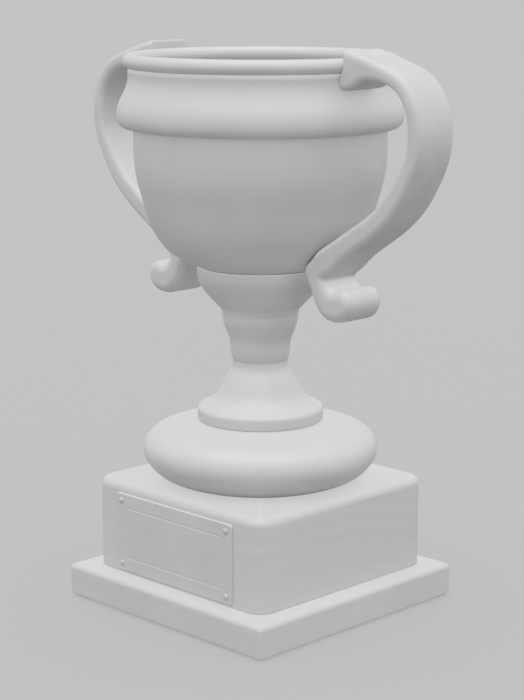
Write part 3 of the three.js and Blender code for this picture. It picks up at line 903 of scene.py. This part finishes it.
class Map:
    """A field over a plane, kept on a grid and read between its points by cubic interpolation."""

    def __init__(self, low, high, field):
        self.low = np.array(low, float)
        axes = [np.arange(a, b + CELL, CELL) for a, b in zip(low, high, strict=True)]
        self.values = field(*np.meshgrid(*axes, indexing="ij"))

    def at(self, u, v):
        """The field at points of the plane."""
        u, v = (u - self.low[0]) / CELL, (v - self.low[1]) / CELL
        i = np.clip(u.astype(int), 1, self.values.shape[0] - 3)
        j = np.clip(v.astype(int), 1, self.values.shape[1] - 3)
        total = np.zeros(np.shape(u))
        for m, across in enumerate(self.weights(u - i), -1):
            for n, upward in enumerate(self.weights(v - j), -1):
                total += across * upward * self.values[i + m, j + n]
        return total

    @staticmethod
    def weights(t):
        """The shares of the four grid points round a place."""
        return (
            ((2 - t) * t - 1) * t / 2,
            ((3 * t - 5) * t * t + 2) / 2,
            ((4 - 3 * t) * t + 1) * t / 2,
            (t - 1) * t * t / 2,
        )


def surface(field, low):
    """Quads round the region where the field is below 0, with a point in each cell it crosses."""
    negative = field < 0
    cells = np.array(field.shape) - 1
    total, hits = np.zeros((*cells, 3)), np.zeros(cells)
    for axis in range(3):
        step = np.eye(3, dtype=int)[axis]
        for shift in itertools.product((0, 1), repeat=3):
            if shift[axis]:
                continue
            near = tuple(slice(s, s + n) for s, n in zip(shift, cells, strict=True))
            far = tuple(slice(s + d, s + d + n) for s, d, n in zip(shift, step, cells, strict=True))
            here = negative[near] != negative[far]
            share = field[near][here] / (field[near][here] - field[far][here])
            total[here] += np.array(shift) + share[:, None] * step
            hits[here] += 1
    crossed = hits > 0
    index = np.full(cells, -1)
    index[crossed] = np.arange(crossed.sum())
    points = np.argwhere(crossed) + total[crossed] / hits[crossed][:, None]
    faces = []
    for axis in range(3):
        b, c = np.roll(np.eye(3, dtype=int), -axis, axis=0)[1:]
        end = [slice(None)] * 3
        start = list(end)
        start[axis], end[axis] = slice(0, -1), slice(1, None)
        changes = negative[tuple(start)] != negative[tuple(end)]
        edges = np.argwhere(changes)
        corners = [index[tuple((edges - back).T)] for back in (b + c, c, 0 * b, b)]
        quads = np.stack(corners, axis=1)
        leaves = negative[tuple(start)][changes]
        faces.append(np.where(leaves[:, None], quads, quads[:, ::-1]))
    return points * CELL + low, np.concatenate(faces)


def strap_outline():
    """The strap's two edges, seen from the side."""
    line = smooth(STRAP, 0.5)
    half = line[:, 2] / 2
    return np.concatenate([offset(line, half), offset(line, -half)[::-1]])


def strap_and_scroll(x, z):
    """The distance from the handle's shape, seen from the side."""
    strap = polygon_distance(x, z, strap_outline())
    scroll = polygon_distance(x, z, smooth(SCROLL, 0.5, closed=True)[:-1])
    return -softer(-strap, -scroll, MELD["strap_to_scroll"])


def cup_side(radius, z):
    """The distance from the solid that the bowl and the rim fill, as a handle has to see it. The
    solid goes on well above the lip, and the bowl's side runs straight up to the band."""
    band = offset(smooth(BAND_CURVE), -SHEET / 2)
    lip_side = arc(LIP["middle"], LIP["height"], LIP["radius"], -70, 0)
    side, top = LIP["middle"] + LIP["radius"], LIP["height"] + 30
    below = bowl_line[bowl_line[:, 1] < band[0, 1] - 2]
    wall = [(bowl_radius, band[0, 1])]
    outline = [(0, bowl_floor), *below, *wall, *band, *lip_side, (side, top), (0, top)]
    return polygon_distance(radius, z, np.array(outline))


flat_map = Map(*SIDE_BOX, strap_and_scroll)
cup_map = Map(*CUP_BOX, cup_side)


def edge_radius(z):
    """The radius of the handle's long edges: the scroll is rounder than the strap."""
    share = np.clip((HANDLE["scroll_top"] - z) / HANDLE["fade"], 0, 1)
    return HANDLE["edge"] + (HANDLE["scroll_edge"] - HANDLE["edge"]) * share**2 * (3 - 2 * share)


def handle_field(x, y, z):
    """The distance from the handle: the flat shape given its width, round edges and the cup's cut."""
    edge = edge_radius(z)
    outline = flat_map.at(x, z) + edge
    across = np.abs(y) - HANDLE["width"] / 2 + edge
    whole = np.minimum(np.maximum(outline, across), 0) - edge
    whole += np.hypot(np.maximum(outline, 0), np.maximum(across, 0))
    return softer(whole, TOUCH - cup_map.at(np.hypot(x, y), z), MELD["to_cup"])


def handle_mesh():
    """The right handle: a surface from the grid, then drawn onto the field's zero in a few steps."""
    axes = [np.arange(low, high, CELL) for low, high in zip(*HANDLE_BOX, strict=True)]
    grid = np.meshgrid(*axes, indexing="ij")
    points, faces = surface(handle_field(*grid), HANDLE_BOX[0])
    tiny, steps, least_slope = 0.05, 5, 0.3
    for _ in range(steps):
        value = handle_field(*points.T)
        nearby = [handle_field(*(points + tiny * d).T) for d in np.eye(3)]
        slope = np.stack([there - value for there in nearby], axis=1) / tiny
        slope /= np.maximum((slope**2).sum(1, keepdims=True), least_slope)
        points = points - value[:, None] * slope
    return points + (0, 0, PLINTH_FOOT), faces


def handle_screw(node, spec, place):
    """A domed screw along its place, with a cross recess in its head."""
    axis = place["axis"]
    under_head = place["at"] + axis * place["start"] + axis * spec["rise"]
    made = screw(spec, place["end"] - place["start"] - spec["rise"])
    slot = along(cross(spec), under_head, axis)
    piece(node, "fastener_steel", along(made, under_head, axis), [slot])


right = handle_mesh()
for name, casting in (("right", right), ("left", turned_round(right))):
    low_place, high_place = lower[name], upper[name]
    holes = joined(
        hole(LOWER, low_place, LOWER_HOLE["start"], low_place["end"] + PAST_TIP),
        hole(UPPER, high_place, UPPER_HOLE["start"], high_place["end"] + PAST_TIP),
    )
    piece(f"handle_{name}", "cast_metal", casting, [holes], kind="casting", sharp=CAST_SHARP)

    ring = washer(LOWER_WASHER["radius"], LOWER_WASHER["bore"], LOWER_WASHER["thick"])
    base = low_place["at"] - low_place["axis"] * LOWER_WASHER["thick"] / 2
    node = f"handle_{name}_lower_washer"
    piece(node, "fastener_steel", along(ring, base, low_place["axis"]))
    handle_screw(f"handle_{name}_lower_screw", LOWER, low_place)
    handle_screw(f"handle_{name}_upper_screw", UPPER, high_place)


# Rod, nuts and washers


def set_down(node, mesh):
    """A steel piece made from 0, set on the foot of its node's place."""
    piece(node, "fastener_steel", moved(mesh, (0, 0, corner_span(node)[0][2])))


def cap_dome():
    """The outline of the cap nut's dome, and of the blind bore that the rod ends in."""
    radius, hexagon = CAP["radius"], CAP["hexagon"]
    bore_top = rod_high[2] - corner_span("bowl_cap_nut")[0][2] + CAP["air"]
    return [
        (radius + 0.1, hexagon),
        (radius, hexagon + 0.1),
        *arc(0, hexagon + CAP["rise"], radius, 0, 90),
        (0, bore_top),
        (BORE, bore_top),
    ]


def rod_mesh():
    """A threaded rod with chamfered ends."""
    length = rod_high[2] - rod_low[2]
    radius = ROD["radius"]
    thread = threaded(radius, ROD["pitch"], ROD["plain"], length - radius / 2)
    return turned([(0, 0), *shank(radius, length, ROD["spacing"])], SMALL_TURN // 2, thread)


rod_low, rod_high = corner_span("tie_rod")
for node in ("base_washer", "bowl_washer"):
    low, high = corner_span(node)
    set_down(node, washer(high[0], BORE, high[2] - low[2]))
low, high = corner_span("base_nut")
set_down("base_nut", nut(high[2] - low[2]))
set_down("bowl_cap_nut", nut(CAP["hexagon"], cap_dome()))
set_down("tie_rod", rod_mesh())


# Studio, in metres

FLOOR = {"radius": 40, "cover": 0.002, "seen": 0.24, "bounce": 0.18}
SKY = {"horizon": 1.37, "zenith": 1.8, "backdrop": 0.95}
OVERHEAD = {"strength": 7, "spread": 60}
CAMERA = {
    "azimuth": 45, "elevation": 11.71, "distance": 0.8784, "aim": (0, 0, 0.1171), "sensor": 36,
    "lens": 99.1, "shift": 0.0023, "near": 0.01, "far": 50,
}


def studio_floor():
    """A wide flat floor, seen from above only, and open under the felt so that the felt has light.
    It is paler to the camera than to the light that it returns."""
    edge = arc(0, 0, FLOOR["radius"], 0, 360 - 5, 5)
    opening = edge / np.abs(edge).max(axis=1, keepdims=True) * (pad_size[0] / 2 - FLOOR["cover"])
    count = len(edge)
    corners = [(x, y, 0) for x, y in (*opening, *edge)]
    strips = [(i, count + i, count + (i + 1) % count, (i + 1) % count) for i in range(count)]
    mesh = bpy.data.meshes.new("studio_floor")
    mesh.from_pydata(corners, [], strips)
    floor = bpy.data.objects.new("studio_floor", mesh)
    bpy.context.scene.collection.objects.link(floor)
    paint = Paint("studio_floor", Roughness=0.9, Specular_IOR_Level=0.1)
    behind = paint.node("ShaderNodeNewGeometry").outputs["Backfacing"]
    seen = paint.node("ShaderNodeLightPath").outputs["Is Camera Ray"]
    cloud = paint.rerange(paint.noise(paint.place, 3, 2), 0.99, 1.01)
    shade = paint.maths("MULTIPLY", cloud, paint.rerange(seen, FLOOR["bounce"], FLOOR["seen"]))
    paint.tree.links.new(shade, paint.shader.inputs["Base Color"])
    clear = paint.node("ShaderNodeBsdfTransparent").outputs[0]
    hidden = paint.maths("MULTIPLY", behind, seen)
    mix = paint.node("ShaderNodeMixShader", {0: hidden, 1: paint.shader.outputs[0], 2: clear})
    output = paint.tree.nodes["Material Output"]
    paint.tree.links.new(mix.outputs[0], output.inputs["Surface"])
    mesh.materials.append(paint.material)


def sky():
    """Soft light from all round, stronger from overhead. The camera sees it as pale as the floor."""
    world = bpy.data.worlds.new("studio_sky")
    world.use_nodes = True
    nodes, links = world.node_tree.nodes, world.node_tree.links
    light = nodes["Background"]
    light.inputs["Color"].default_value = (*GREY, 1)
    direction = nodes.new("ShaderNodeTexCoord").outputs["Generated"]
    parts = nodes.new("ShaderNodeSeparateXYZ")
    links.new(direction, parts.inputs[0])
    fade = nodes.new("ShaderNodeMapRange")
    fade.inputs["To Min"].default_value = SKY["horizon"]
    fade.inputs["To Max"].default_value = SKY["zenith"]
    links.new(parts.outputs["Z"], fade.inputs["Value"])
    links.new(fade.outputs[0], light.inputs["Strength"])
    shown = nodes.new("ShaderNodeBackground")
    shown.inputs["Color"].default_value = (*GREY, 1)
    shown.inputs["Strength"].default_value = SKY["backdrop"]
    mix = nodes.new("ShaderNodeMixShader")
    links.new(nodes.new("ShaderNodeLightPath").outputs["Is Camera Ray"], mix.inputs[0])
    links.new(light.outputs[0], mix.inputs[1])
    links.new(shown.outputs[0], mix.inputs[2])
    links.new(mix.outputs[0], nodes["World Output"].inputs["Surface"])
    bpy.context.scene.world = world


def overhead():
    """A soft light from straight above that fills every upward face evenly, and no other face."""
    light = bpy.data.lights.new("overhead", "SUN")
    light.energy = OVERHEAD["strength"]
    light.angle = math.radians(OVERHEAD["spread"])
    light.use_shadow = False
    light.cycles.max_bounces = 0
    bpy.context.scene.collection.objects.link(bpy.data.objects.new("overhead", light))


def camera():
    """The camera, looking down a little at the plinth's corner."""
    made = bpy.data.objects.new("camera", bpy.data.cameras.new("camera"))
    bpy.context.scene.collection.objects.link(made)
    bpy.context.scene.camera = made
    made.data.sensor_width = CAMERA["sensor"]
    made.data.lens = CAMERA["lens"]
    made.data.shift_x = CAMERA["shift"]
    azimuth, elevation = math.radians(CAMERA["azimuth"]), math.radians(CAMERA["elevation"])
    level = math.cos(elevation)
    away = Vector((math.sin(azimuth) * level, -math.cos(azimuth) * level, math.sin(elevation)))
    made.location = Vector(CAMERA["aim"]) + away * CAMERA["distance"]
    made.rotation_mode = "QUATERNION"
    made.rotation_quaternion = away.to_track_quat("Z", "Y")
    made.data.clip_start = CAMERA["near"]
    made.data.clip_end = CAMERA["far"]


studio_floor()
sky()
overhead()
camera()
